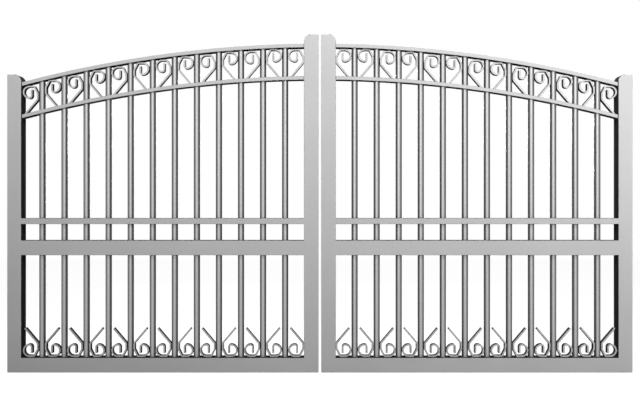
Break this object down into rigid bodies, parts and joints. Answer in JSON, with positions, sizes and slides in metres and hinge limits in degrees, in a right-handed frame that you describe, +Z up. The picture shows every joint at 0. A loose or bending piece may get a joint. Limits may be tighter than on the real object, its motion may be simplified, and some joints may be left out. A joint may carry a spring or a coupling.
{
  "type": "double swing gate with arched top",
  "caption": "Pair of mirrored tubular aluminium gate leaves with an arched top, round pickets and flat-bar scrolls, each hung on rear pins in brackets that bolt to a post.",
  "frame": {"origin": "centre of the wall face of the lower left hinge bracket's plate", "axes": "+X along the closed gate from left to right, +Y from the front to the back, into which the leaves open, +Z up"},
  "size_m": [3.428, 0.154, 1.829],
  "materials": {
    "frame_aluminium": "satin",
    "arch_aluminium": "satin",
    "picket_aluminium": "satin",
    "scroll_aluminium": "satin",
    "hinge_steel": "brushed stainless",
    "pin_steel": "turned stainless"
  },
  "bodies": {
    "hinge_brackets": {"left_lower_bracket": "hinge_steel", "left_lower_pin": "pin_steel", "left_upper_bracket": "hinge_steel", "left_upper_pin": "pin_steel", "right_lower_bracket": "hinge_steel", "right_lower_pin": "pin_steel", "right_upper_bracket": "hinge_steel", "right_upper_pin": "pin_steel"},
    "left_leaf": {"left_lower_eye": "hinge_steel", "left_upper_eye": "hinge_steel", "left_hinge_stile": "frame_aluminium", "left_hinge_cap": "frame_aluminium", "left_hinge_foot": "frame_aluminium", "left_meeting_stile": "frame_aluminium", "left_meeting_cap": "frame_aluminium", "left_meeting_foot": "frame_aluminium", "left_bottom_rail": "frame_aluminium", "left_mid_rail": "frame_aluminium", "left_upper_rail": "frame_aluminium", "left_lower_arch": "arch_aluminium", "left_top_arch": "arch_aluminium", "left_lower_pickets": "picket_aluminium", "left_upper_pickets": "picket_aluminium", "left_base_scrolls": "scroll_aluminium", "left_crown_scrolls": "scroll_aluminium"},
    "right_leaf": {"right_lower_eye": "hinge_steel", "right_upper_eye": "hinge_steel", "right_hinge_stile": "frame_aluminium", "right_hinge_cap": "frame_aluminium", "right_hinge_foot": "frame_aluminium", "right_meeting_stile": "frame_aluminium", "right_meeting_cap": "frame_aluminium", "right_meeting_foot": "frame_aluminium", "right_bottom_rail": "frame_aluminium", "right_mid_rail": "frame_aluminium", "right_upper_rail": "frame_aluminium", "right_lower_arch": "arch_aluminium", "right_top_arch": "arch_aluminium", "right_lower_pickets": "picket_aluminium", "right_upper_pickets": "picket_aluminium", "right_base_scrolls": "scroll_aluminium", "right_crown_scrolls": "scroll_aluminium"}
  },
  "joints": [
    {"name": "left_swing", "type": "hinge", "parent": "hinge_brackets", "child": "left_leaf", "pos_m": [0.045, -0.014, 0], "axis": [0, 0, 1], "range_deg": [0, 90]},
    {"name": "right_swing", "type": "hinge", "parent": "hinge_brackets", "child": "right_leaf", "pos_m": [3.383, -0.014, 0], "axis": [0, 0, -1], "range_deg": [0, 90]}
  ]
}
